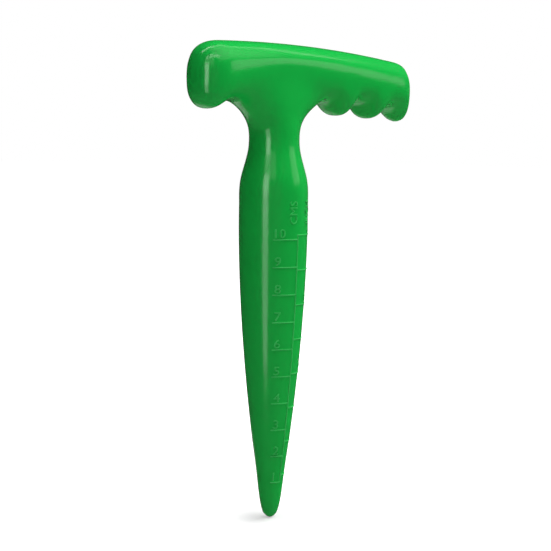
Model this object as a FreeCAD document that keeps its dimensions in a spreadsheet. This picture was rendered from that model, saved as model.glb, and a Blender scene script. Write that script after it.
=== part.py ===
import FreeCAD, Part

import math
import os

from FreeCAD import Placement, Rotation, Vector

# Garden dibber: a hand tool that presses a planting hole in soil. It is a T: a grip with finger
# grooves across the top, and a round tapering blade with a depth scale down its front face.
# Two hollow half shells, front and back, meet on the upright plane through the grip.
# Frame: origin at the tip of the blade, +Z up the blade, the grip along X with its palm end at -X,
# and the scale on the -Y face.

# ------------------------------------------------------------------ driving dimensions, mm

SIZES = {
    # blade, from the tip up to the grip
    "tip_radius": 2.6,          # radius that the taper runs out to at the tip
    "tip_dome": 3.6,            # length of the rounded end
    "blade_radius": 12.6,       # radius of the blade where it is widest
    "blade_widest": 108.0,      # height of the widest section
    "shoulder_length": 13.0,    # from there up to where the blade starts to narrow
    "neck_radius": 9.2,         # radius of the waist under the grip
    "waist_length": 18.5,       # from the shoulder up to the waist
    "flare_reach": 19.0,        # how far the neck widens along the grip
    "flare_sink": 11.0,         # the widened neck ends inside the grip, this far under the crest
    "blend_radius": 3.0,        # fillet between the flared neck and the grip
    # grip
    "grip_rise": 35.0,          # from the waist up to the highest point of the grip, its crest
    "crest_offset": 7.0,        # that point lies this far from the blade axis, to the palm side
    "grip_width": 19.0,         # width of the grip across the hand
    "belt_drop": 8.6,           # over the blade the grip is widest this far below its top line
    "palm_belt_sag": 3.8,       # how much lower the widest line lies at the palm end
    "finger_belt_sag": 2.6,     # and at the finger end
    "palm_reach": 39.6,         # blade axis to palm end
    "finger_reach": 69.4,       # blade axis to finger end
    "finger_drop": 4.8,         # fall of the top line towards the finger end
    "palm_dome": 12.0,          # length of the rounded palm end
    "finger_dome": 7.5,         # length of the rounded finger end
    "web_drop": 21.3,           # crest to the underside beside the neck, on the palm side
    "hook_depth": 3.8,          # depth of the palm hook below that underside
    "hook_place": 34.5,         # blade axis to the lowest point of the hook
    "hook_length": 9.0,         # length over which the underside drops to the hook
    "bump_drop": 26.6,          # crest to the lowest point of the first finger bump
    "bump_fall": 5.2,           # how much lower the last bump is
    "groove_start": 22.8,       # blade axis to the first finger groove
    "groove_pitch": 18.4,       # distance between finger grooves
    "groove_depth": 6.8,        # depth of a groove above the bump beside it
    # half shells
    "wall": 2.2,                # thickness of the moulded wall
    "cavity_floor": 8.5,        # height where the hollow begins over the solid tip
    "tongue_width": 0.8,        # tongue round the joint, in the middle of the wall
    "tongue_height": 1.0,
    "fit_clearance": 0.1,       # play of the tongue in its groove and of a pin in its socket
    "rib_thickness": 1.6,
    "blade_rib_start": 34.0,    # height of the lowest rib in the blade
    "blade_rib_pitch": 23.0,
    "boss_radius": 3.2,         # posts that carry the locating pins and their sockets
    "pin_radius": 1.5,
    "pin_length": 3.0,
    "low_pin_height": 46.0,
    "high_pin_height": 114.0,
    "neck_pin_drop": 16.5,      # crest to the pin over the neck
    # raised depth scale
    "relief": 0.3,              # height of the lines over the face of the blade
    "line_width": 0.5,
    "scale_zero": 4.0,          # height over the tip that the scale counts from
    "centimetre": 10.0,
    "half_inch": 12.7,
}

# heights over the tip that follow from those sizes
HEIGHTS = {
    "shoulder_height": "=blade_widest + shoulder_length",
    "neck_height": "=shoulder_height + waist_length",
    "grip_crest": "=neck_height + grip_rise",
}

BLADE_RIBS = 5
GRIP_RIBS = 2
CENTIMETRE_MARKS = 10
HALF_INCH_MARKS = 8

# ------------------------------------------------------------------ shape constants

TAPER_POWER = 1.76      # swell of the long taper: 1 is a straight cone
FLARE_POWER = 2.2       # how sharply the neck turns out into the grip
CROWN_POWER = 2.3       # squareness of the grip's section over its widest line: 2 is an ellipse
UNDER_POWER = 2.7       # the same under that line
END_POWER = 2.8         # squareness of the grip's ends seen from the front
PLAN_POWER = 2.3        # the same seen from above
BUMP_POWER = 2.3        # slimness of the finger bumps: 1 is an even wave
FALL_POWER = 4          # how late the bumps fall towards the finger end: 1 is a straight line
ROUND_POWER = 2.0       # a true circle or ellipse
MARK_SHARE = 0.71       # half width of the scale as a share of the blade's radius

# how closely the lofts are carried by sections
SECTION_POINTS = 16                     # points on one closed section
TIP_SHARES = (0.02, 0.12, 0.3, 0.6)     # sections in the rounded tip, as shares of its length
TAPER_STEPS = 8
WAIST_STEPS = 5
FLARE_STEPS = 10
END_STEPS = 6                           # sections in each rounded end of the grip
MIDDLE_STEPS = 22                       # sections along the rest of the grip
END_SHARE = 0.005                       # the first of them lies this far into the rounded end

# rounded floor of the hollow: height over the floor in mm, share of the full radius there
FLOOR_RINGS = ((0.0, 0.5), (1.0, 0.85))
FLOOR_ROUNDING = 3.0                    # the hollow has its full radius from this height on

# directions of the tool
ALONG = Vector(1, 0, 0)         # along the grip
ACROSS = Vector(0, 1, 0)        # across the hand
UPRIGHT = Vector(0, 0, 1)

# ------------------------------------------------------------------ document and sheet

doc = FreeCAD.newDocument("garden_dibber")
sheet = doc.addObject("Spreadsheet::Sheet", "sizes")
for row, (alias, value) in enumerate({**SIZES, **HEIGHTS}.items(), start=1):
    sheet.set(f"A{row}", alias)
    sheet.set(f"B{row}", str(value))
    sheet.setAlias(f"B{row}", alias)
doc.recompute()


def size(alias):
    """Value of one dimension or height, read from the sheet."""
    return float(getattr(sheet, alias))


# ------------------------------------------------------------------ outlines

def half_wave(share):
    """Smooth step from 0 to 1 as share runs from 0 to 1."""
    held = min(max(share, 0.0), 1.0)
    return (1.0 - math.cos(math.pi * held)) / 2.0


def dome(share, power):
    """Relative half size of a rounded end, share of its length in from the end."""
    if share >= 1.0:
        return 1.0
    return (1.0 - (1.0 - share) ** power) ** (1.0 / power)


def blade_radius(height):
    """Radius of the blade at a height between the tip and the neck."""
    widest = size("blade_radius")
    if height < size("blade_widest"):
        rest = 1.0 - height / size("blade_widest")
        return widest - (widest - size("tip_radius")) * rest ** TAPER_POWER
    fall = size("neck_height") - size("shoulder_height")
    share = (height - size("shoulder_height")) / fall
    return widest - (widest - size("neck_radius")) * half_wave(share)


def grip_top(x):
    """Height of the grip's top line, a flat arch that falls to the finger end."""
    offset = size("crest_offset")
    share = (x + offset) / (size("finger_reach") + offset)
    return size("grip_crest") - size("finger_drop") * share ** 2


def web_height():
    """Height of the grip's underside beside the neck, on the palm side."""
    return size("grip_crest") - size("web_drop")


def belt_drop(x):
    """Depth of the grip's widest line under its top line. That line is an arch over the blade."""
    if x < 0.0:
        return size("belt_drop") + size("palm_belt_sag") * half_wave(-x / size("palm_reach"))
    return size("belt_drop") + size("finger_belt_sag") * half_wave(x / size("finger_reach"))


def bump_line(x):
    """Height of the line through the lowest points of the finger bumps."""
    first_bump = size("groove_start") + size("groove_pitch") / 2.0
    share = (x - first_bump) / (2.0 * size("groove_pitch"))
    first_height = size("grip_crest") - size("bump_drop")
    return first_height - size("bump_fall") * share ** FALL_POWER


def grip_bottom(x):
    """Height of the grip's underside: palm hook, web beside the neck, finger grooves."""
    start = size("groove_start")
    if x > start:
        wave = (1.0 - math.cos(2.0 * math.pi * (x - start) / size("groove_pitch"))) / 2.0
        return bump_line(x) + size("groove_depth") * (1.0 - wave ** BUMP_POWER)
    first_groove = bump_line(start) + size("groove_depth")
    web_end = size("hook_length") - size("hook_place")
    if x > web_end:
        share = (x - web_end) / (start - web_end)
        return web_height() + (first_groove - web_height()) * half_wave(share)
    share = (web_end - x) / size("hook_length")
    return web_height() - size("hook_depth") * half_wave(share)


# ------------------------------------------------------------------ lofted skins

def closed_section(centre, along, across, half_along, half_across, powers):
    """Closed superelliptic wire about centre, which starts midway between the two axes.

    half_along and powers each give the value on the positive side and on the negative side of along.
    """
    points = []
    for step in range(SECTION_POINTS):
        turn = 2.0 * math.pi * step / SECTION_POINTS + math.pi / 4.0
        side = 0 if math.sin(turn) >= 0.0 else 1
        on_across = math.copysign(abs(math.cos(turn)) ** (2.0 / powers[side]), math.cos(turn))
        on_along = math.copysign(abs(math.sin(turn)) ** (2.0 / powers[side]), math.sin(turn))
        points.append(
            centre + across * (half_across * on_across) + along * (half_along[side] * on_along)
        )
    curve = Part.BSplineCurve()
    curve.interpolate(Points=points, PeriodicFlag=True, Parameters=list(range(SECTION_POINTS + 1)))
    return Part.Wire([curve.toShape()])


def round_section(height, half_length, half_width):
    """Level elliptical wire about the blade's axis."""
    return closed_section(
        UPRIGHT * height,
        ALONG,
        ACROSS,
        (half_length, half_length),
        half_width,
        (ROUND_POWER, ROUND_POWER),
    )


def blade_heights(first):
    """Heights of the blade's sections from first up to the neck."""
    run = size("blade_widest") - first
    taper = [first + run * step / TAPER_STEPS for step in range(TAPER_STEPS + 1)]
    shoulder = [(size("blade_widest") + size("shoulder_height")) / 2.0, size("shoulder_height")]
    fall = size("neck_height") - size("shoulder_height")
    waist = [size("shoulder_height") + fall * step / WAIST_STEPS for step in range(1, WAIST_STEPS + 1)]
    return taper + shoulder + waist


def neck_profile(inset):
    """Height, half length and half width of each section of the flared neck over the waist."""
    rise = size("grip_crest") - size("flare_sink") - size("neck_height")
    profile = []
    for step in range(1, FLARE_STEPS + 1):
        share = step / FLARE_STEPS
        turn_out = share ** FLARE_POWER
        spread = turn_out / (turn_out + (1.0 - share) ** FLARE_POWER)
        half_length = size("neck_radius") + size("flare_reach") * spread - inset
        profile.append(
            (size("neck_height") + rise * share, half_length, size("neck_radius") - inset)
        )
    return profile


def blade_skin(inset):
    """Blade and flared neck as one solid, inset from the outer face. It ends inside the grip.

    The outer skin runs down to the rounded tip. An inset one stops at the floor of the hollow.
    """
    rings = []
    if inset > 0.0:
        first = size("cavity_floor") + FLOOR_ROUNDING
        for rise, share in FLOOR_RINGS:
            height = size("cavity_floor") + rise
            rings.append((height, share * (blade_radius(height) - inset)))
    else:
        first = size("tip_dome")
        for share in TIP_SHARES:
            height = first * share
            rings.append((height, blade_radius(height) * dome(share, ROUND_POWER) - inset))
    rings += [(height, blade_radius(height) - inset) for height in blade_heights(first)]
    wires = [round_section(height, radius, radius) for height, radius in rings]
    wires += [round_section(*section) for section in neck_profile(inset)]
    return Part.makeLoft(wires, True, False)


def grip_stations(inset):
    """Places along X of the grip's sections: close at the rounded ends, even between them."""
    palm_end = inset - size("palm_reach")
    finger_end = size("finger_reach") - inset
    into_end = [1.0 - math.cos(math.pi / 2.0 * step / END_STEPS) for step in range(END_STEPS + 1)]
    stations = [palm_end + size("palm_dome") * share for share in into_end]
    start = stations[-1]
    length = finger_end - size("finger_dome") - start
    stations += [start + length * step / MIDDLE_STEPS for step in range(1, MIDDLE_STEPS)]
    stations += [finger_end - size("finger_dome") * share for share in reversed(into_end)]
    return stations


def grip_profile(inset):
    """Place along X, height of the widest line, reach over it and under it, and end share, by station."""
    stations = grip_stations(inset)
    profile = []
    for x in stations:
        palm_share = max((x - stations[0]) / size("palm_dome"), END_SHARE)
        finger_share = max((stations[-1] - x) / size("finger_dome"), END_SHARE)
        belt = grip_top(x) - belt_drop(x)
        fullness = min(dome(palm_share, END_POWER), dome(finger_share, END_POWER))
        over = fullness * (belt_drop(x) - inset)
        under = fullness * (belt - grip_bottom(x) - inset)
        plan = min(dome(palm_share, PLAN_POWER), dome(finger_share, PLAN_POWER))
        profile.append((x, belt, over, under, plan))
    return profile


def grip_skin(inset):
    """Grip as one solid, inset from the outer face."""
    half_width = size("grip_width") / 2.0 - inset
    wires = [
        closed_section(
            Vector(x, 0, belt),
            UPRIGHT,
            ACROSS,
            (over, under),
            half_width * plan,
            (CROWN_POWER, UNDER_POWER),
        )
        for x, belt, over, under, plan in grip_profile(inset)
    ]
    return Part.makeLoft(wires, True, False)


def junction_edges(shape):
    """The closed edge where the flared neck enters the grip."""
    reach = size("neck_radius") + size("flare_reach")
    found = []
    for edge in shape.Edges:
        box = edge.BoundBox
        around_neck = box.XMin > -reach and box.XMax < reach and box.YLength > size("neck_radius")
        if around_neck and box.ZMin > size("neck_height"):
            found.append(edge)
    return found


def dibber_skin(inset, blend):
    """Whole T as one solid, inset from the outer face, with a blended junction if blend is set."""
    skin = blade_skin(inset).fuse(grip_skin(inset))
    if blend > 0.0:
        skin = skin.makeFillet(blend, junction_edges(skin))
    return skin


def solid_feature(name, shape):
    """Document object that holds one solid worked out from the sheet."""
    feature = doc.addObject("Part::Feature", name)
    feature.Shape = shape
    feature.Placement = Placement(Vector(0, 0, 0), Rotation(0, 0, 0, 1))
    return feature


# ------------------------------------------------------------------ helpers for primitives

def bind(feature, **expressions):
    """Bind properties of a feature to the sheet; __ in a name stands for a dot."""
    for name, expression in expressions.items():
        feature.setExpression(name.replace("__", "."), expression)


def boolean(kind, name, *operands):
    """Part::Cut and Part::Common of two objects, or Part::MultiFuse of several."""
    feature = doc.addObject(f"Part::{kind}", name)
    feature.Refine = False
    if kind == "MultiFuse":
        feature.Shapes = list(operands)
    else:
        feature.Base, feature.Tool = operands
    return feature


def half_space(name, side):
    """Box that holds the front (side -1) or the back (side 1) half of the tool."""
    box = doc.addObject("Part::Box", name)
    bind(
        box,
        Length="sizes.palm_reach + sizes.finger_reach + 4 * sizes.grip_width",
        Width="2 * sizes.grip_width",
        Height="sizes.grip_crest + 2 * sizes.grip_width",
        Placement__Base__x="-sizes.palm_reach - 2 * sizes.grip_width",
        Placement__Base__y="-2 * sizes.grip_width" if side < 0 else "0",
        Placement__Base__z="-sizes.grip_width",
    )
    return box


def blade_rib(index):
    """Plate across the hollow of the blade."""
    rib = doc.addObject("Part::Box", f"blade_rib_{index + 1}")
    bind(
        rib,
        Length="4 * sizes.blade_radius",
        Width="4 * sizes.blade_radius",
        Height="sizes.rib_thickness",
        Placement__Base__x="-2 * sizes.blade_radius",
        Placement__Base__y="-2 * sizes.blade_radius",
        Placement__Base__z=(
            f"sizes.blade_rib_start + {index} * sizes.blade_rib_pitch - sizes.rib_thickness / 2"
        ),
    )
    return rib


def grip_rib(index):
    """Plate across the hollow of the grip, over a finger bump."""
    rib = doc.addObject("Part::Box", f"grip_rib_{index + 1}")
    bind(
        rib,
        Length="sizes.rib_thickness",
        Width="2 * sizes.grip_width",
        Height="2 * (sizes.grip_crest - sizes.neck_height)",
        Placement__Base__x=(
            f"sizes.groove_start + {index + 0.5} * sizes.groove_pitch - sizes.rib_thickness / 2"
        ),
        Placement__Base__y="-sizes.grip_width",
        Placement__Base__z="sizes.neck_height",
    )
    return rib


def cross_cylinder(name, x, height, radius, start, length):
    """Cylinder along +Y from y = start; every value is an expression."""
    cylinder = doc.addObject("Part::Cylinder", name)
    cylinder.Placement = Placement(Vector(0, 0, 0), Rotation(ALONG, -90))
    bind(
        cylinder,
        Radius=radius,
        Height=length,
        Placement__Base__x=x,
        Placement__Base__y=start,
        Placement__Base__z=height,
    )
    return cylinder


def pin_places():
    """Name of each locating pin, with its x and its height as expressions."""
    palm_x = size("palm_dome") - size("palm_reach")
    finger_x = size("groove_start") + 2.0 * size("groove_pitch")
    return [
        ("low", "0", "sizes.low_pin_height"),
        ("high", "0", "sizes.high_pin_height"),
        ("neck", "0", "sizes.grip_crest - sizes.neck_pin_drop"),
        (
            "palm",
            "sizes.palm_dome - sizes.palm_reach",
            str((grip_top(palm_x) + grip_bottom(palm_x)) / 2.0),
        ),
        (
            "finger",
            "sizes.groove_start + 2 * sizes.groove_pitch",
            str((grip_top(finger_x) + grip_bottom(finger_x)) / 2.0),
        ),
    ]


# ------------------------------------------------------------------ skins, ribs and posts

outer_skin = solid_feature("outer_skin", dibber_skin(0.0, size("blend_radius")))
cavity = solid_feature("cavity", dibber_skin(size("wall"), 0.0))

front_half = half_space("front_half", -1)
back_half = half_space("back_half", 1)

ribs = [blade_rib(index) for index in range(BLADE_RIBS)] + [grip_rib(index) for index in range(GRIP_RIBS)]
posts = [
    cross_cylinder(
        f"{name}_post",
        x,
        height,
        "sizes.boss_radius",
        "-sizes.grip_width",
        "2 * sizes.grip_width",
    )
    for name, x, height in pin_places()
]
stiffening = boolean("MultiFuse", "stiffening", *ribs, *posts)


def half_shell(name, half):
    """Outer skin and hollow of one half, with its ribs and posts left standing in the hollow."""
    blank = boolean("Common", f"{name}_blank", outer_skin, half)
    hollow = boolean("Common", f"{name}_hollow", cavity, half)
    chambers = boolean("Cut", f"{name}_chambers", hollow, stiffening)
    return boolean("Cut", f"{name}_body", blank, chambers)


# ------------------------------------------------------------------ joint round the parting plane


def blade_plate(inset, thickness):
    """Plate on the parting plane: the blade and flared neck, inset from their outline."""
    first = size("cavity_floor") - size("wall") + inset
    side = [(blade_radius(height) - inset, height) for height in blade_heights(first)]
    side += [(half_length, height) for height, half_length, _ in neck_profile(inset)]
    edges = []
    for sign in (1.0, -1.0):
        curve = Part.BSplineCurve()
        curve.interpolate([Vector(sign * reach, 0, height) for reach, height in side])
        edges.append(curve.toShape())
    for reach, height in (side[0], side[-1]):
        edges.append(Part.makeLine(Vector(-reach, 0, height), Vector(reach, 0, height)))
    outline = Part.Wire(Part.__sortEdges__(edges))
    return Part.Face(outline).extrude(ACROSS * thickness)


def grip_plate(inset, thickness):
    """Plate on the parting plane: the grip, inset from its outline."""
    profile = grip_profile(inset)
    points = [Vector(x, 0, belt + over) for x, belt, over, _, _ in profile]
    points += [Vector(x, 0, belt - under) for x, belt, _, under, _ in reversed(profile)]
    curve = Part.BSplineCurve()
    curve.interpolate(Points=points, PeriodicFlag=True)
    return Part.Face(Part.Wire([curve.toShape()])).extrude(ACROSS * thickness)


def joint_band(name, clearances):
    """Ring on the parting plane in the middle of the wall, widened by a number of fit clearances."""
    middle = size("wall") / 2.0
    half_width = size("tongue_width") / 2.0 + clearances * size("fit_clearance")
    height = size("tongue_height") + clearances * size("fit_clearance")
    plates = []
    for part, inset in (("rim", middle - half_width), ("hole", middle + half_width)):
        blade = solid_feature(f"{name}_blade_{part}", blade_plate(inset, height))
        grip = solid_feature(f"{name}_grip_{part}", grip_plate(inset, height))
        plates.append(boolean("MultiFuse", f"{name}_{part}", blade, grip))
    return boolean("Cut", name, *plates)


tongue = joint_band("tongue", 0)
groove = joint_band("groove", 1)

# ------------------------------------------------------------------ raised depth scale


def scale_bar(name, left, right, low, high):
    """Upright plate that stands out of the front of the blade from x left to right, z low to high."""
    bar = doc.addObject("Part::Box", name)
    bar.Length = right - left
    bar.Height = high - low
    bar.Placement = Placement(Vector(left, 0, low), Rotation(0, 0, 0, 1))
    bind(bar, Width="2 * sizes.blade_radius", Placement__Base__y="-2 * sizes.blade_radius")
    return bar


def scale_bars():
    """The upright line with centimetre marks on its left and half inch marks on its right."""
    half_line = size("line_width") / 2.0
    zero = size("scale_zero")
    top = zero + HALF_INCH_MARKS * size("half_inch")
    bars = [scale_bar("scale_line", -half_line, half_line, zero + size("centimetre"), top)]
    for count in range(1, CENTIMETRE_MARKS + 1):
        height = zero + count * size("centimetre")
        reach = MARK_SHARE * blade_radius(height)
        bars.append(
            scale_bar(f"centimetre_mark_{count}", -reach, half_line, height - half_line, height + half_line)
        )
    for count in range(1, HALF_INCH_MARKS + 1):
        height = zero + count * size("half_inch")
        reach = MARK_SHARE * blade_radius(height)
        bars.append(
            scale_bar(f"half_inch_mark_{count}", -half_line, reach, height - half_line, height + half_line)
        )
    return bars


scale_plates = boolean("MultiFuse", "scale_plates", *scale_bars())
raised_face = solid_feature("raised_face", blade_skin(-size("relief")))
face_bed = solid_feature("face_bed", blade_skin(size("wall") / 2.0))
raised_plates = boolean("Common", "raised_plates", scale_plates, raised_face)
scale_marks = boolean("Cut", "scale_marks", raised_plates, face_bed)

# ------------------------------------------------------------------ front shell: scale, tongue, pins

front_body = half_shell("front", front_half)
pins = [
    cross_cylinder(
        f"{name}_pin",
        x,
        height,
        "sizes.pin_radius",
        "-sizes.pin_length",
        "2 * sizes.pin_length",
    )
    for name, x, height in pin_places()
]
front_shell = boolean("MultiFuse", "front_shell", front_body, scale_marks, tongue, *pins)
front_shell.Label = "front_shell"

# ------------------------------------------------------------------ back shell: groove, sockets

back_body = half_shell("back", back_half)
sockets = [
    cross_cylinder(
        f"{name}_socket",
        x,
        height,
        "sizes.pin_radius + sizes.fit_clearance",
        "-sizes.pin_length",
        "2 * sizes.pin_length + sizes.fit_clearance",
    )
    for name, x, height in pin_places()
]
back_recess = boolean("MultiFuse", "back_recess", groove, *sockets)
back_shell = boolean("Cut", "back_shell", back_body, back_recess)
back_shell.Label = "back_shell"

# ------------------------------------------------------------------ check and export

doc.recompute()
for feature in doc.Objects:
    faults = [state for state in feature.State if state in ("Invalid", "Error")]
    if faults:
        raise RuntimeError(f"{feature.Name} is {faults}")

os.makedirs("parts", exist_ok=True)
for part in (front_shell, back_shell):
    if part.Shape.isNull() or not part.Shape.isValid() or len(part.Shape.Solids) != 1:
        raise RuntimeError(f"{part.Label} has no sound solid: {len(part.Shape.Solids)}")
    print(part.Label, round(part.Shape.Volume, 1), part.Shape.BoundBox)
for part in (front_shell, back_shell):
    part.Shape.exportStep(f"parts/{part.Label}.step")
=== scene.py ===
import logging
import math
from dataclasses import dataclass
from enum import Enum

import bmesh
import bpy
from mathutils import Matrix, Vector
from mathutils.bvhtree import BVHTree
from mathutils.kdtree import KDTree


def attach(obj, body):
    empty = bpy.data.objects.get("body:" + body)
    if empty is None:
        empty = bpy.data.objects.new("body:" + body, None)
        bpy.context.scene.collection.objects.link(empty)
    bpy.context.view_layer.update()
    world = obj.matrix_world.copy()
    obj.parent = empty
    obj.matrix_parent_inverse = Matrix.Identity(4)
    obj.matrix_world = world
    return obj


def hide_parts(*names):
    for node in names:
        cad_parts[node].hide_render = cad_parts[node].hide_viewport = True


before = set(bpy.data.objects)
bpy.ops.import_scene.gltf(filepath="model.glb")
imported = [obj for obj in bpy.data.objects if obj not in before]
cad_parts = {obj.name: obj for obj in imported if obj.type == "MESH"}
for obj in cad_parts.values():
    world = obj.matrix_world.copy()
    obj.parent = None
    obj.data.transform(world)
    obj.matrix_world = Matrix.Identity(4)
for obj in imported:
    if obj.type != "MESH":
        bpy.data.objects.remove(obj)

# Looks of a garden dibber: a glossy green hand tool that presses planting holes in soil.
#
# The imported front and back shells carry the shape. This script dresses them in moulded plastic,
# makes the lines of the depth scale again with rounded rims, adds its raised numbers and unit
# letters, and sets up a plain studio. Everything is in metres, in the frame of the shells: +Z up
# the blade from its tip, the scale on the -Y face.

LOG = logging.getLogger("dibber")
MM = 0.001
WHITE = (1.0, 1.0, 1.0, 1.0)


class Axis(Enum):
    """Direction in which a label on the blade is read."""

    ACROSS = 0.0
    UPWARD = math.pi / 2.0


# ---------------------------------------------------------------------------- shared steps


def in_scene(name: str, data: bpy.types.ID) -> bpy.types.Object:
    """Put a new object in the scene, at the origin.

    Args:
        name: Name of the object.
        data: Its mesh, curve, lamp or camera.

    Returns:
        The object.
    """
    made = bpy.data.objects.new(name, data)
    bpy.context.scene.collection.objects.link(made)
    return made


def as_mesh(form: bmesh.types.BMesh, name: str) -> bpy.types.Mesh:
    """Turn a form under construction into a mesh and free it.

    Args:
        form: The form.
        name: Name of the mesh.

    Returns:
        The mesh.
    """
    mesh = bpy.data.meshes.new(name)
    form.to_mesh(mesh)
    form.free()
    return mesh


def evaluated_mesh(holder: bpy.types.Object) -> bpy.types.Mesh:
    """Take an object's mesh as it is after its modifiers or curve settings.

    Args:
        holder: The object.

    Returns:
        A mesh of its own.
    """
    bpy.context.view_layer.update()
    depsgraph = bpy.context.evaluated_depsgraph_get()
    return bpy.data.meshes.new_from_object(holder.evaluated_get(depsgraph))


def whole_geometry(
    form: bmesh.types.BMesh,
) -> list[bmesh.types.BMVert | bmesh.types.BMEdge | bmesh.types.BMFace]:
    """List every vertex, edge and face of a form."""
    return list(form.verts) + list(form.edges) + list(form.faces)


def relax(
    form: bmesh.types.BMesh,
    verts: bmesh.types.BMVertSeq | list[bmesh.types.BMVert],
    factor: float,
) -> None:
    """Move vertices towards the middle of their neighbours, or away with a negative factor.

    Args:
        form: Form under construction.
        verts: The vertices to move.
        factor: Share of the way to go.
    """
    bmesh.ops.smooth_vert(
        form,
        verts=verts,
        factor=factor,
        use_axis_x=True,
        use_axis_y=True,
        use_axis_z=True,
    )


# ---------------------------------------------------------------------------- finishes


@dataclass(frozen=True)
class MouldedPlastic:
    """Glossy injection moulded plastic, with faint flow marks in its colour and its surface."""

    name: str
    colour: tuple[float, float, float]
    flow_colour: tuple[float, float, float]
    roughness: float = 0.16
    roughness_spread: float = 0.03
    refraction: float = 1.49
    flow_scale: float = 45.0
    flow_detail: float = 3.0
    grain_scale: float = 900.0
    grain_depth: float = 0.004 * MM
    waviness_scale: float = 70.0
    waviness_depth: float = 0.02 * MM
    bump_detail: float = 2.0

    def material(self) -> bpy.types.Material:
        """Build the node material.

        Returns:
            The finished material.
        """
        made = bpy.data.materials.new(self.name)
        made.use_nodes = True
        nodes = made.node_tree.nodes
        links = made.node_tree.links
        shader = nodes["Principled BSDF"]
        shader.inputs["IOR"].default_value = self.refraction
        place = nodes.new("ShaderNodeTexCoord").outputs["Object"]
        flow = self._noise(nodes, links, place, self.flow_scale, self.flow_detail)
        colour = nodes.new("ShaderNodeMix")
        colour.data_type = "RGBA"
        colour.inputs["A"].default_value = (*self.colour, 1.0)
        colour.inputs["B"].default_value = (*self.flow_colour, 1.0)
        links.new(flow, colour.inputs["Factor"])
        links.new(colour.outputs["Result"], shader.inputs["Base Color"])
        gloss = nodes.new("ShaderNodeMapRange")
        gloss.inputs["To Min"].default_value = self.roughness - self.roughness_spread
        gloss.inputs["To Max"].default_value = self.roughness + self.roughness_spread
        links.new(flow, gloss.inputs["Value"])
        links.new(gloss.outputs["Result"], shader.inputs["Roughness"])
        waves = self._bump(nodes, links, place, self.waviness_scale, self.waviness_depth, None)
        grain = self._bump(nodes, links, place, self.grain_scale, self.grain_depth, waves)
        links.new(grain, shader.inputs["Normal"])
        return made

    @staticmethod
    def _noise(
        nodes: bpy.types.Nodes,
        links: bpy.types.NodeLinks,
        place: bpy.types.NodeSocket,
        scale: float,
        detail: float,
    ) -> bpy.types.NodeSocket:
        """Add a noise texture.

        Args:
            nodes: Nodes of the material.
            links: Links of the material.
            place: Socket that gives the place on the piece.
            scale: Number of repeats of the pattern per metre.
            detail: Octaves of the noise.

        Returns:
            The socket with the noise value.
        """
        noise = nodes.new("ShaderNodeTexNoise")
        noise.inputs["Scale"].default_value = scale
        noise.inputs["Detail"].default_value = detail
        links.new(place, noise.inputs["Vector"])
        return noise.outputs["Fac"]

    def _bump(
        self,
        nodes: bpy.types.Nodes,
        links: bpy.types.NodeLinks,
        place: bpy.types.NodeSocket,
        scale: float,
        depth: float,
        below: bpy.types.NodeSocket | None,
    ) -> bpy.types.NodeSocket:
        """Add a bump of one scale on top of another.

        Args:
            nodes: Nodes of the material.
            links: Links of the material.
            place: Socket that gives the place on the piece.
            scale: Number of repeats of the pattern per metre.
            depth: Height of the pattern in metres.
            below: Normal that the bump lies on, or None for the bare surface.

        Returns:
            The socket with the bumped normal.
        """
        height = self._noise(nodes, links, place, scale, self.bump_detail)
        bump = nodes.new("ShaderNodeBump")
        bump.inputs["Strength"].default_value = 1.0
        bump.inputs["Distance"].default_value = depth
        links.new(height, bump.inputs["Height"])
        if below is not None:
            links.new(below, bump.inputs["Normal"])
        return bump.outputs["Normal"]


@dataclass(frozen=True)
class StudioFloor:
    """Pale floor that the camera sees as white, apart from the soft shadow round the tip."""

    colour: float = 0.45
    roughness: float = 0.5
    lift_at_tip: float = 0.45
    lift_far: float = 1.0
    fade_start: float = 4.0 * MM  # from the tip along the floor
    fade_end: float = 30.0 * MM

    def material(self) -> bpy.types.Material:
        """Build the node material.

        Returns:
            The finished material.
        """
        made = bpy.data.materials.new("studio_floor")
        made.use_nodes = True
        nodes = made.node_tree.nodes
        links = made.node_tree.links
        shader = nodes["Principled BSDF"]
        shader.inputs["Base Color"].default_value = (self.colour, self.colour, self.colour, 1.0)
        shader.inputs["Roughness"].default_value = self.roughness
        shader.inputs["Emission Color"].default_value = WHITE
        rays = nodes.new("ShaderNodeLightPath")
        far = nodes.new("ShaderNodeVectorMath")
        far.operation = "LENGTH"
        links.new(nodes.new("ShaderNodeTexCoord").outputs["Object"], far.inputs[0])
        lift = nodes.new("ShaderNodeMapRange")
        lift.interpolation_type = "SMOOTHSTEP"
        lift.inputs["From Min"].default_value = self.fade_start
        lift.inputs["From Max"].default_value = self.fade_end
        lift.inputs["To Min"].default_value = self.lift_at_tip
        lift.inputs["To Max"].default_value = self.lift_far
        links.new(far.outputs["Value"], lift.inputs["Value"])
        seen = nodes.new("ShaderNodeMath")
        seen.operation = "MULTIPLY"
        links.new(rays.outputs["Is Camera Ray"], seen.inputs[0])
        links.new(lift.outputs["Result"], seen.inputs[1])
        links.new(seen.outputs["Value"], shader.inputs["Emission Strength"])
        return made


# ---------------------------------------------------------------------------- shells


@dataclass(frozen=True)
class Blend:
    """Soft zone of the skin, in metres: an ellipsoid in which edges and hollows are eased."""

    middle: tuple[float, float, float]
    reach: tuple[float, float, float]
    rounds: int
    plateau: float = 1.8  # over 1, so that the middle of the zone is eased in full

    def share(self, place: Vector) -> float:
        """How far a place takes part in the blending.

        Args:
            place: Point on the skin.

        Returns:
            1 in the middle of the zone, falling smoothly to 0 at its rim.
        """
        far = sum(((at - mid) / span) ** 2 for at, mid, span in zip(place, self.middle, self.reach))
        if far >= 1.0:
            return 0.0
        return min(1.0, self.plateau * (1.0 - far) ** 2)


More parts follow.
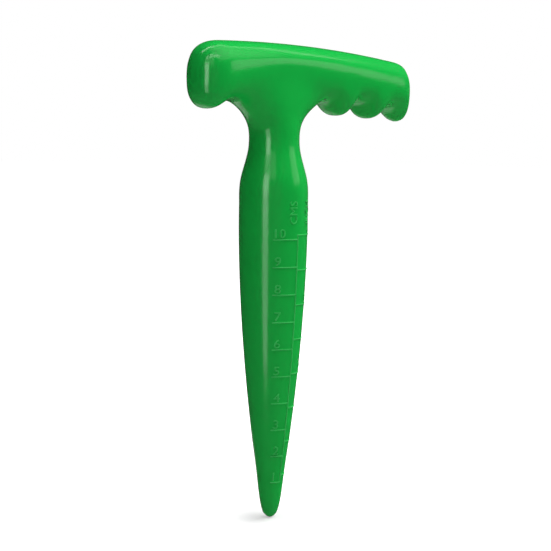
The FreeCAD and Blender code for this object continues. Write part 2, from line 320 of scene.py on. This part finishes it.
@dataclass
class SmoothShells:
    """Both half shells with an even, softly blended skin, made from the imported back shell.

    The tool is the same on both sides of the parting plane, y = 0, apart from the raised scale.
    """

    source: str = "back_shell"
    voxel: float = 0.5 * MM
    wall: float = 1.8 * MM
    weld: float = 0.001 * MM
    flat: float = 0.01 * MM  # what is nearer than this to the parting plane lies on it
    cut_tolerance: float = 0.0001 * MM
    calm_rounds: int = 6
    smooth_factor: float = 0.5
    same_side: float = 0.5  # least cosine between a face of the outer side and the skin there
    blends: tuple[Blend, ...] = (
        # middle, reach and rounds, for the neck, beside the palm hook and for the finger grooves
        Blend((0.0, 0.0, 155.0 * MM), (34.0 * MM, 40.0 * MM, 13.0 * MM), 120),
        Blend((-19.0 * MM, 0.0, 154.0 * MM), (18.0 * MM, 24.0 * MM, 12.0 * MM), 90),
        Blend((46.0 * MM, 0.0, 149.0 * MM), (42.0 * MM, 30.0 * MM, 20.0 * MM), 36),
    )

    def build(self, finish: bpy.types.Material) -> BVHTree:
        """Make the two shells.

        Args:
            finish: Material of the moulding.

        Returns:
            Search tree over the whole outer skin.
        """
        skin = self._even_skin(self._outer_skin())
        normals = [vert.normal.copy() for vert in skin.vertices]
        finder = KDTree(len(skin.vertices))
        for vert in skin.vertices:
            finder.insert(vert.co, vert.index)
        finder.balance()
        form = bmesh.new()
        form.from_mesh(skin)
        tree = BVHTree.FromBMesh(form)
        form.free()
        halves = (("front_skin", "front_shell", -1.0), ("back_skin", "back_shell", 1.0))
        for name, node, side in halves:
            piece = self._half(name, skin, side)
            self._keep_normals(piece.data, finder, normals)
            piece.data.materials.append(finish)
            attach(piece, "root")
            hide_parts(node)
            LOG.info("%s made, %d faces", name, len(piece.data.polygons))
        bpy.data.meshes.remove(skin)
        return tree

    def _outer_skin(self) -> bpy.types.Mesh:
        """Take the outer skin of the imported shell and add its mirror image.

        Returns:
            Closed mesh of the outer skin of the whole tool.
        """
        form = bmesh.new()
        form.from_mesh(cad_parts[self.source].data)
        bmesh.ops.remove_doubles(form, verts=form.verts, dist=self.weld)
        joint = []
        for face in form.faces:
            if all(abs(vert.co.y) < self.flat for vert in face.verts):
                joint.append(face)
        bmesh.ops.delete(form, geom=joint, context="FACES")
        outside = self._connected(max(form.verts, key=lambda vert: vert.co.y))
        inner = [vert for vert in form.verts if vert not in outside]
        bmesh.ops.delete(form, geom=inner, context="VERTS")
        bmesh.ops.mirror(
            form,
            geom=whole_geometry(form),
            matrix=Matrix.Identity(4),
            merge_dist=self.flat,
            axis="Y",
        )
        bmesh.ops.remove_doubles(form, verts=form.verts, dist=self.flat)
        bmesh.ops.recalc_face_normals(form, faces=form.faces)
        return as_mesh(form, "outer_skin")

    @staticmethod
    def _connected(start: bmesh.types.BMVert) -> set[bmesh.types.BMVert]:
        """Find the vertices that edges join to one vertex.

        Args:
            start: Vertex to begin at.

        Returns:
            Every vertex that can be reached along edges, with the first.
        """
        reached = {start}
        waiting = [start]
        while waiting:
            for edge in waiting.pop().link_edges:
                for vert in edge.verts:
                    if vert not in reached:
                        reached.add(vert)
                        waiting.append(vert)
        return reached

    def _even_skin(self, mesh: bpy.types.Mesh) -> bpy.types.Mesh:
        """Give the skin even faces, calm it and ease its soft zones.

        Args:
            mesh: Closed outer skin. It is removed.

        Returns:
            The finished skin of the whole tool.
        """
        holder = in_scene("outer_skin", mesh)
        remesh = holder.modifiers.new("even_faces", "REMESH")
        remesh.mode = "VOXEL"
        remesh.voxel_size = self.voxel
        even = evaluated_mesh(holder)
        bpy.data.objects.remove(holder)
        bpy.data.meshes.remove(mesh)
        form = bmesh.new()
        form.from_mesh(even)
        for _ in range(self.calm_rounds):
            relax(form, form.verts, self.smooth_factor)
            relax(form, form.verts, -self.smooth_factor)
        for blend in self.blends:
            self._ease(form, blend)
        for face in form.faces:
            face.smooth = True
        form.to_mesh(even)
        form.free()
        return even

    def _ease(self, form: bmesh.types.BMesh, blend: Blend) -> None:
        """Ease the skin within one soft zone.

        Args:
            form: Skin of the whole tool.
            blend: The zone.
        """
        shares = {vert: blend.share(vert.co) for vert in form.verts}
        zone = [vert for vert, share in shares.items() if share > 0.0]
        before = {vert: vert.co.copy() for vert in zone}
        for _ in range(blend.rounds):
            relax(form, zone, self.smooth_factor)
        for vert in zone:
            vert.co = before[vert].lerp(vert.co, shares[vert])

    def _half(self, name: str, skin: bpy.types.Mesh, side: float) -> bpy.types.Object:
        """Cut one half out of the skin and give it a wall.

        Args:
            name: Name of the piece.
            skin: Skin of the whole tool.
            side: -1 for the front half, 1 for the back half.

        Returns:
            The hollow half shell.
        """
        form = bmesh.new()
        form.from_mesh(skin)
        bmesh.ops.bisect_plane(
            form,
            geom=whole_geometry(form),
            dist=self.cut_tolerance,
            plane_co=(0.0, 0.0, 0.0),
            plane_no=(0.0, side, 0.0),
            clear_inner=True,
        )
        thin = as_mesh(form, name)
        holder = in_scene(name, thin)
        wall = holder.modifiers.new("wall", "SOLIDIFY")
        wall.thickness = self.wall
        wall.offset = -1.0
        thick = evaluated_mesh(holder)
        holder.modifiers.clear()
        holder.data = thick
        bpy.data.meshes.remove(thin)
        thick.name = name
        return holder

    def _keep_normals(self, mesh: bpy.types.Mesh, finder: KDTree, normals: list[Vector]) -> None:
        """Shade the outer side with the normals of the uncut skin, so that the joint doesn't show.

        Args:
            mesh: Half shell.
            finder: Search tree over the vertices of the uncut skin.
            normals: Normal of each of those vertices.
        """
        skin_normals = []
        on_skin = []
        for vert in mesh.vertices:
            _, index, distance = finder.find(vert.co)
            skin_normals.append(normals[index])
            on_skin.append(distance < self.voxel)
        loops = [Vector()] * len(mesh.loops)
        for face in mesh.polygons:
            face.use_smooth = True
            outer = all(on_skin[index] for index in face.vertices)
            outer = outer and face.normal.dot(skin_normals[face.vertices[0]]) > self.same_side
            for loop in face.loop_indices:
                vertex = mesh.loops[loop].vertex_index
                loops[loop] = skin_normals[vertex] if outer else face.normal
        mesh.normals_split_custom_set(loops)


# ---------------------------------------------------------------------------- depth scale


@dataclass(frozen=True)
class Label:
    """One raised number or unit on the face of the blade, in metres."""

    text: str
    left: float
    foot: float
    height: float
    width_share: float = 0.92
    turn: Axis = Axis.ACROSS


@dataclass(frozen=True)
class Line:
    """One raised line on the face of the blade, in metres."""

    left: float
    right: float
    low: float
    high: float


@dataclass
class BladeFace:
    """Front face of the blade, found by shooting straight at the skin."""

    tree: BVHTree
    start: float = -50.0 * MM

    def depth(self, x: float, z: float) -> float:
        """Find the y of the face.

        Args:
            x: Place across the blade.
            z: Height over the tip.

        Returns:
            The y where a line along +Y meets the skin.
        """
        hit = self.tree.ray_cast(Vector((x, self.start, z)), Vector((0.0, 1.0, 0.0)))[0]
        if hit is None:
            raise ValueError(f"no blade at x {x:.4f}, z {z:.4f}")
        return hit.y


@dataclass
class DepthScale:
    """Raised lines, numbers and units of the depth scale."""

    face: BladeFace
    zero: float = 4.0 * MM
    centimetre: float = 10.0 * MM
    half_inch: float = 12.7 * MM
    centimetre_count: int = 10
    half_inch_count: int = 8
    reach_share: float = 0.71  # half width of the scale, as a share of the blade's radius
    inch_share: float = 0.45  # where the inch numbers begin, as a share of that radius
    line_width: float = 0.5 * MM
    digit_height: float = 3.3 * MM
    inset: float = 0.45 * MM  # from the outer end of a mark to its number
    gap: float = 0.65 * MM  # from the middle of a mark up to its number
    unit_foot: float = 109.6 * MM
    centimetre_unit_left: float = -0.5 * MM
    centimetre_unit_width: float = 0.97
    inch_unit_left: float = 7.6 * MM
    inch_unit_width: float = 0.78
    relief: float = 0.3 * MM
    sink: float = 0.25 * MM  # how deep the base of a mark lies in the skin
    line_rim: float = 0.2 * MM
    line_rim_steps: int = 3
    letter_rim: float = 0.12 * MM
    letter_rim_steps: int = 2
    letter_curve_steps: int = 3
    cap_height: float = 0.73  # of the built-in face at size 1
    weld: float = 0.005 * MM
    longest_edge: float = 0.5 * MM
    split_rounds: int = 5

    def build(self, finish: bpy.types.Material) -> None:
        """Make each piece of the scale on the blade.

        Args:
            finish: Material of the marks.
        """
        flats = {"scale_lines": [self._bar(line) for line in self.lines()]}
        for name, labels in self.labels().items():
            flats[name] = [self._lettering(label) for label in labels]
        for name, meshes in flats.items():
            form = bmesh.new()
            for mesh in meshes:
                self._lay(form, mesh)
            bmesh.ops.recalc_face_normals(form, faces=form.faces)
            for face in form.faces:
                face.smooth = True
            whole = as_mesh(form, name)
            whole.materials.append(finish)
            piece = in_scene(name, whole)
            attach(piece, "root")
            LOG.info("%s made, %d marks, %d faces", name, len(meshes), len(whole.polygons))

    def lines(self) -> list[Line]:
        """List the upright line, the centimetre marks on its left and the half inch marks.

        Returns:
            The lines, with the upright one first.
        """
        half = self.line_width / 2.0
        top = self.zero + self.half_inch_count * self.half_inch
        lines = [Line(-half, half, self.zero + self.centimetre, top + half)]
        for count in range(1, self.centimetre_count + 1):
            height = self.zero + count * self.centimetre
            lines.append(Line(-self.reach(height), 0.0, height - half, height + half))
        for count in range(1, self.half_inch_count + 1):
            height = self.zero + count * self.half_inch
            lines.append(Line(0.0, self.reach(height), height - half, height + half))
        return lines

    def labels(self) -> dict[str, list[Label]]:
        """List the labels by piece.

        Returns:
            The labels of each piece, by the name of the piece.
        """
        centimetres = []
        for count in range(1, self.centimetre_count + 1):
            height = self.zero + count * self.centimetre
            left = self.inset - self.reach(height)
            centimetres.append(Label(str(count), left, height + self.gap, self.digit_height))
        inches = []
        for count in range(1, self.half_inch_count // 2 + 1):
            height = self.zero + 2 * count * self.half_inch
            left = self.inch_share * self.radius(height)
            inches.append(Label(str(count), left, height + self.gap, self.digit_height))
        units = []
        for text, left, width_share in (
            ("CMS", self.centimetre_unit_left, self.centimetre_unit_width),
            ("INCH", self.inch_unit_left, self.inch_unit_width),
        ):
            units.append(Label(text, left, self.unit_foot, self.digit_height, width_share, Axis.UPWARD))
        return {"centimetre_numbers": centimetres, "inch_numbers": inches, "unit_letters": units}

    def radius(self, height: float) -> float:
        """Radius of the blade at a height."""
        return -self.face.depth(0.0, height)

    def reach(self, height: float) -> float:
        """Half width of the scale at a height."""
        return self.reach_share * self.radius(height)

    def _lay(self, form: bmesh.types.BMesh, flat: bpy.types.Mesh) -> None:
        """Bend one flat mark round the blade and add it to a piece.

        Args:
            form: Mesh under construction.
            flat: The mark, with its height over the sunk base in y. It is removed.
        """
        part = bmesh.new()
        part.from_mesh(flat)
        bpy.data.meshes.remove(flat)
        bmesh.ops.remove_doubles(part, verts=part.verts, dist=self.weld)
        for _ in range(self.split_rounds):
            long_edges = [edge for edge in part.edges if edge.calc_length() > self.longest_edge]
            bmesh.ops.subdivide_edges(part, edges=long_edges, cuts=1, use_grid_fill=True)
        bmesh.ops.triangulate(part, faces=part.faces)
        for vert in part.verts:
            surface = self.face.depth(vert.co.x, vert.co.z)
            vert.co.y = surface + self.sink - vert.co.y
        mesh = as_mesh(part, "mark")
        form.from_mesh(mesh)
        bpy.data.meshes.remove(mesh)

    def _bar(self, line: Line) -> bpy.types.Mesh:
        """Make a line as a flat bar with a rounded rim.

        Args:
            line: The line.

        Returns:
            A mesh whose x and z are in place, with its height over the sunk base in y.
        """
        form = bmesh.new()
        bmesh.ops.create_cube(form, size=1.0)
        thickness = self.relief + self.sink
        across = (line.left + line.right) / 2.0
        upward = (line.low + line.high) / 2.0
        span = Vector((line.right - line.left, thickness, line.high - line.low))
        middle = Vector((across, thickness / 2.0, upward))
        bmesh.ops.scale(form, verts=form.verts, vec=span)
        bmesh.ops.translate(form, verts=form.verts, vec=middle)
        raised = []
        for edge in form.edges:
            if all(vert.co.y > thickness / 2.0 for vert in edge.verts):
                raised.append(edge)
        bmesh.ops.bevel(
            form,
            geom=raised,
            offset=self.line_rim,
            segments=self.line_rim_steps,
            profile=0.5,
            affect="EDGES",
            material=-1,
        )
        return as_mesh(form, "line")

    def _lettering(self, label: Label) -> bpy.types.Mesh:
        """Set a label as a flat raised mesh.

        Args:
            label: The label.

        Returns:
            A mesh whose x and z are in place, with its height over the sunk base in y.
        """
        curve = bpy.data.curves.new("label", "FONT")
        curve.body = label.text
        curve.size = 1.0
        thickness = self.relief + self.sink
        scale = label.height / self.cap_height
        curve.extrude = (thickness / 2.0 - self.letter_rim) / scale
        curve.bevel_depth = self.letter_rim / scale
        curve.offset = -self.letter_rim / scale
        curve.bevel_resolution = self.letter_rim_steps
        curve.resolution_u = self.letter_curve_steps
        setting = in_scene("label", curve)
        mesh = evaluated_mesh(setting)
        bpy.data.objects.remove(setting)
        bpy.data.curves.remove(curve)
        left = min(vert.co.x for vert in mesh.vertices)
        foot = min(vert.co.y for vert in mesh.vertices)
        narrow = Matrix.Diagonal((scale * label.width_share, scale, scale, 1.0))
        mesh.transform(narrow @ Matrix.Translation((-left, -foot, 0.0)))
        mesh.transform(Matrix.Rotation(label.turn.value, 4, "Z"))
        for vert in mesh.vertices:
            x, up, out = vert.co
            vert.co = (label.left + x, out + thickness / 2.0, label.foot + up)
        return mesh


# ---------------------------------------------------------------------------- studio


def direction(azimuth: float, elevation: float) -> Vector:
    """Unit vector from the tool towards a place in the studio.

    Args:
        azimuth: Degrees from the scale's side, -Y, towards +X.
        elevation: Degrees over the floor.

    Returns:
        The direction.
    """
    turn = math.radians(azimuth)
    rise = math.radians(elevation)
    level = math.cos(rise)
    return Vector((math.sin(turn) * level, -math.cos(turn) * level, math.sin(rise)))


def area_lamp(name: str, width: float, height: float, radiance: float, place: Matrix) -> bpy.types.Object:
    """Hang a rectangular lamp.

    Args:
        name: Name of the lamp.
        width: Its size along its own X.
        height: Its size along its own Y.
        radiance: How bright its face is, whatever its size.
        place: Its place, with +Z away from what it lights.

    Returns:
        The lamp's object.
    """
    lamp = bpy.data.lights.new(name, "AREA")
    lamp.shape = "RECTANGLE"
    lamp.size = width
    lamp.size_y = height
    lamp.energy = radiance * math.pi * width * height
    holder = in_scene(name, lamp)
    holder.matrix_world = place
    return holder


@dataclass(frozen=True)
class SoftBox:
    """One rectangular lamp that faces the middle of the tool."""

    name: str
    azimuth: float
    elevation: float
    distance: float
    width: float
    height: float
    radiance: float
    shines: bool = True  # shows in the gloss of the tool
    fills: bool = True  # lights the colour of the tool

    def build(self, target: Vector) -> None:
        """Hang the lamp.

        Args:
            target: Point that the lamp faces.
        """
        away = direction(self.azimuth, self.elevation)
        turned = away.to_track_quat("Z", "Y").to_matrix().to_4x4()
        place = Matrix.Translation(target + away * self.distance) @ turned
        holder = area_lamp(self.name, self.width, self.height, self.radiance, place)
        holder.visible_glossy = self.shines
        holder.visible_diffuse = self.fills


@dataclass(frozen=True)
class LightTube:
    """Long thin lamp between two points over the tool, given from the middle of the tool."""

    name: str
    start: tuple[float, float, float]
    end: tuple[float, float, float]
    thickness: float
    radiance: float

    def build(self, target: Vector) -> None:
        """Hang the lamp.

        Args:
            target: Point that the lamp faces.
        """
        run = Vector(self.end) - Vector(self.start)
        middle = (Vector(self.end) + Vector(self.start)) / 2.0
        along = run.normalized()
        out = (middle - along * middle.dot(along)).normalized()
        side = out.cross(along)
        turned = Matrix((along, side, out)).transposed().to_4x4()
        place = Matrix.Translation(target + middle) @ turned
        area_lamp(self.name, run.length, self.thickness, self.radiance, place)


@dataclass(frozen=True)
class Viewpoint:
    """Camera that looks at the tool from its front left, a little from above."""

    azimuth: float = -45.0
    elevation: float = 5.4
    roll: float = 0.7
    distance: float = 0.56
    target: tuple[float, float, float] = (0.0, 0.0, 0.088)
    focal_px: float = 1527.0
    frame_px: float = 551.0
    target_px: tuple[float, float] = (272.5, 281.2)  # where the target lies in the frame
    sensor: float = 36.0
    nearest: float = 0.01
    farthest: float = 50.0

    def build(self) -> None:
        """Set the camera up and make it the scene's own."""
        back = direction(self.azimuth, self.elevation)
        turn = math.radians(self.azimuth)
        right = Vector((math.cos(turn), math.sin(turn), 0.0))
        up = back.cross(right)
        roll = math.radians(self.roll)
        across = self.frame_px / 2.0 - self.target_px[0]
        down = self.frame_px / 2.0 - self.target_px[1]
        level_across = across * math.cos(roll) + down * math.sin(roll)
        level_down = down * math.cos(roll) - across * math.sin(roll)
        metre_per_px = self.distance / self.focal_px
        place = Vector(self.target) + back * self.distance
        aim = Vector(self.target) + (right * level_across - up * level_down) * metre_per_px
        view_back = (place - aim).normalized()
        view_right = up.cross(view_back).normalized()
        view_up = view_back.cross(view_right)
        rolled_right = view_right * math.cos(roll) + view_up * math.sin(roll)
        rolled_up = view_up * math.cos(roll) - view_right * math.sin(roll)
        camera = bpy.data.cameras.new("camera")
        camera.sensor_width = self.sensor
        camera.lens = self.focal_px / self.frame_px * self.sensor
        camera.clip_start = self.nearest
        camera.clip_end = self.farthest
        holder = in_scene("camera", camera)
        turned = Matrix((rolled_right, rolled_up, view_back)).transposed().to_4x4()
        holder.matrix_world = Matrix.Translation(place) @ turned
        bpy.context.scene.camera = holder


@dataclass
class Studio:
    """Floor, surroundings and lamps."""

    floor_size: float = 12.0
    sky: float = 0.03
    ground: float = 0.15
    ground_below: float = -0.75  # sine of the elevation up to which the ground's strength holds
    sky_above: float = -0.15  # and from which the sky's does
    middle: tuple[float, float, float] = (0.0, 0.0, 0.13)
    lamps: tuple[SoftBox | LightTube, ...] = (
        # name, azimuth, elevation, distance, width, height, radiance, shines, fills
        SoftBox("strip_left", -71.0, 0.0, 0.65, 0.21, 0.6, 2.4, True, False),
        SoftBox("strip_upper", -71.0, 13.0, 0.63, 0.21, 0.38, 2.0, True, False),
        SoftBox("window_right", 43.0, 17.0, 0.9, 0.46, 0.28, 1.15),
        SoftBox("ceiling", 42.0, 67.0, 1.3, 1.4, 1.4, 4.7, False),
        SoftBox("back_right", 92.0, 20.0, 1.2, 1.0, 1.0, 4.2, False),
        SoftBox("front_fill", -38.0, -4.0, 1.3, 0.9, 0.9, 1.45, False),
        SoftBox("ceiling_sheen", 20.0, 62.0, 1.25, 1.4, 1.4, 0.6, True, False),
        SoftBox("front_sheen", -50.0, 30.0, 1.2, 0.5, 0.4, 0.8, True, False),
        SoftBox("floor_glow", 158.0, -38.0, 0.6, 0.3, 0.3, 0.6, True, False),
        # name, start, end, thickness, radiance
        LightTube("tube_over", (0.9, -0.24, 0.7), (-0.5, 0.2, 0.7), 0.03, 4.0),
        LightTube("tube_left", (0.0, 0.04, 0.69), (-0.66, 0.44, 0.76), 0.04, 10.0),
        LightTube("tube_front", (-0.1, -0.62, 0.66), (-1.0, -0.25, 0.66), 0.04, 8.0),
    )

    def build(self) -> None:
        """Lay the floor, colour the surroundings and hang the lamps."""
        self._floor()
        self._surroundings()
        for lamp in self.lamps:
            lamp.build(Vector(self.middle))

    def _floor(self) -> None:
        """Lay a plain floor under the tip, which casts no shadow and isn't mirrored in the tool."""
        form = bmesh.new()
        bmesh.ops.create_grid(form, x_segments=1, y_segments=1, size=self.floor_size / 2.0)
        mesh = as_mesh(form, "floor")
        mesh.materials.append(StudioFloor().material())
        floor = in_scene("floor", mesh)
        floor.visible_shadow = False
        floor.visible_glossy = False

    def _surroundings(self) -> None:
        """Make the surroundings white to the camera and dim to the tool, darker above than below."""
        world = bpy.data.worlds.new("surroundings")
        bpy.context.scene.world = world
        world.use_nodes = True
        nodes = world.node_tree.nodes
        links = world.node_tree.links
        background = nodes["Background"]
        background.inputs["Color"].default_value = WHITE
        place = nodes.new("ShaderNodeSeparateXYZ")
        links.new(nodes.new("ShaderNodeTexCoord").outputs["Generated"], place.inputs["Vector"])
        dim = nodes.new("ShaderNodeMapRange")
        dim.inputs["From Min"].default_value = self.ground_below
        dim.inputs["From Max"].default_value = self.sky_above
        dim.inputs["To Min"].default_value = self.ground
        dim.inputs["To Max"].default_value = self.sky
        links.new(place.outputs["Z"], dim.inputs["Value"])
        rays = nodes.new("ShaderNodeLightPath")
        strength = nodes.new("ShaderNodeMapRange")
        strength.inputs["To Max"].default_value = 1.0
        links.new(dim.outputs["Result"], strength.inputs["To Min"])
        links.new(rays.outputs["Is Camera Ray"], strength.inputs["Value"])
        links.new(strength.outputs["Result"], background.inputs["Strength"])


# ---------------------------------------------------------------------------- build


def main() -> None:
    """Dress the shells, make the depth scale and set up the camera and the studio."""
    logging.basicConfig(level=logging.INFO, format="%(name)s: %(message)s")
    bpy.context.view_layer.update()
    green = MouldedPlastic(
        "green_plastic",
        colour=(0.005, 0.375, 0.046),
        flow_colour=(0.006, 0.405, 0.052),
    )
    # The raised marks get a lighter green than the body: a painted highlight for the light line along
    # their upper flanks.
    highlit_marks = MouldedPlastic(
        "marks_painted_highlight",
        colour=(0.018, 0.45, 0.075),
        flow_colour=(0.02, 0.48, 0.08),
        roughness=0.3,
    )
    green_material = green.material()
    highlit_marks_material = highlit_marks.material()
    face = BladeFace(SmoothShells().build(green_material))
    DepthScale(face).build(highlit_marks_material)
    Viewpoint().build()
    Studio().build()
    bpy.context.scene.view_settings.view_transform = "Standard"


if __name__ == "__main__":
    main()
